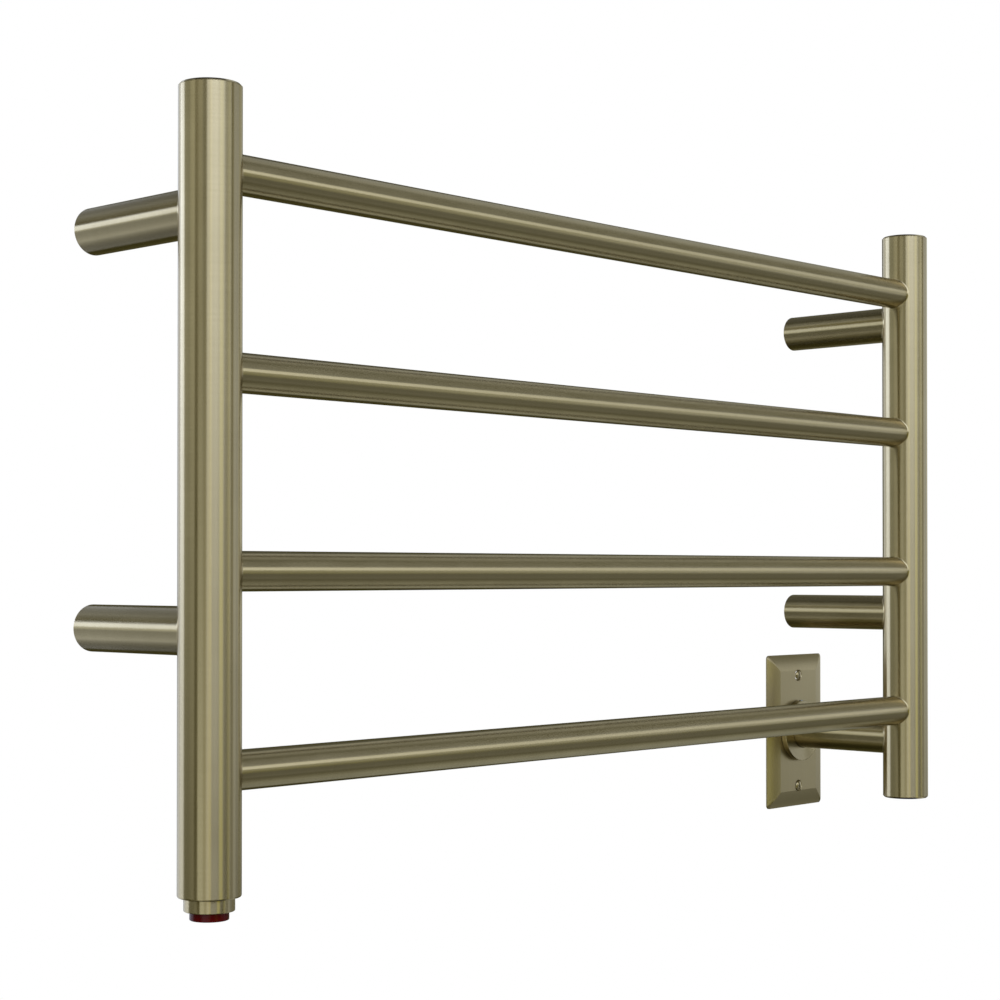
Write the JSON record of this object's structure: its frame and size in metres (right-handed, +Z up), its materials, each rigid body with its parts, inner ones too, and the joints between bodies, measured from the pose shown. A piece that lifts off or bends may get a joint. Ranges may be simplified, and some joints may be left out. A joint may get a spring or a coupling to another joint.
{
  "type": "towel warmer rack",
  "caption": "Hard-wired electric towel warmer rack: upright posts joined by cross bars, wall standoffs, a wiring arm to a cover plate, and a push-button switch.",
  "frame": {"origin": "in the wall plane, at the centre of the standoffs' rectangle", "axes": "+X along the bars to the right as seen from the room, +Y into the wall, +Z up; the front faces -Y"},
  "size_m": [0.6909, 0.1285, 0.4196],
  "materials": {
    "brushed_brass": "brushed, satin, warm olive-gold",
    "steel": "plain",
    "red_lens": "clear deep red, polished",
    "clear_acrylic": "clear",
    "black_plastic": "moulded",
    "seal_rubber": "matt",
    "heating_sheath": "silicone sheath",
    "live_sheath": "sheath",
    "neutral_sheath": "sheath",
    "earth_sheath": "sheath",
    "crimp_sleeve": "heat-shrink sleeve"
  },
  "bodies": {
    "rack": {"left_post": "brushed_brass", "right_post": "brushed_brass", "bar_1": "brushed_brass", "bar_2": "brushed_brass", "bar_3": "brushed_brass", "bar_4": "brushed_brass", "left_top_cap": "brushed_brass", "right_top_cap": "brushed_brass", "right_bottom_cap": "brushed_brass", "left_upper_standoff": "brushed_brass", "left_lower_standoff": "brushed_brass", "right_upper_standoff": "brushed_brass", "right_lower_standoff": "brushed_brass", "switch_housing": "brushed_brass", "wiring_arm": "brushed_brass", "arm_collar": "brushed_brass", "wall_plate": "brushed_brass", "upper_plate_screw": "brushed_brass", "lower_plate_screw": "brushed_brass", "left_upper_base": "steel", "left_lower_base": "steel", "right_upper_base": "steel", "right_lower_base": "steel", "left_upper_grub": "steel", "left_lower_grub": "steel", "right_upper_grub": "steel", "right_lower_grub": "steel", "return_spring": "steel", "thermal_cutoff": "steel", "arm_locknut": "steel", "collar_grub": "steel", "earth_terminal": "steel", "earth_screw": "steel", "light_guide": "clear_acrylic", "switch_module": "black_plastic", "wire_bushing": "black_plastic", "left_top_seal": "seal_rubber", "right_top_seal": "seal_rubber", "right_bottom_seal": "seal_rubber", "cable_end_seal": "seal_rubber", "heating_cable": "heating_sheath", "switch_lead": "live_sheath", "supply_live": "live_sheath", "supply_neutral": "neutral_sheath", "supply_earth": "earth_sheath", "cold_joint": "crimp_sleeve", "live_splice": "crimp_sleeve", "switched_splice": "crimp_sleeve", "neutral_splice": "crimp_sleeve"},
    "button": {"push_button": "red_lens", "button_plunger": "black_plastic"}
  },
  "joints": [
    {"name": "button_press", "type": "slide", "parent": "rack", "child": "button", "axis": [0, 0, 1], "range_m": [0, 0.0025], "stiffness_N_per_m": 400, "deforming": ["return_spring"]}
  ]
}
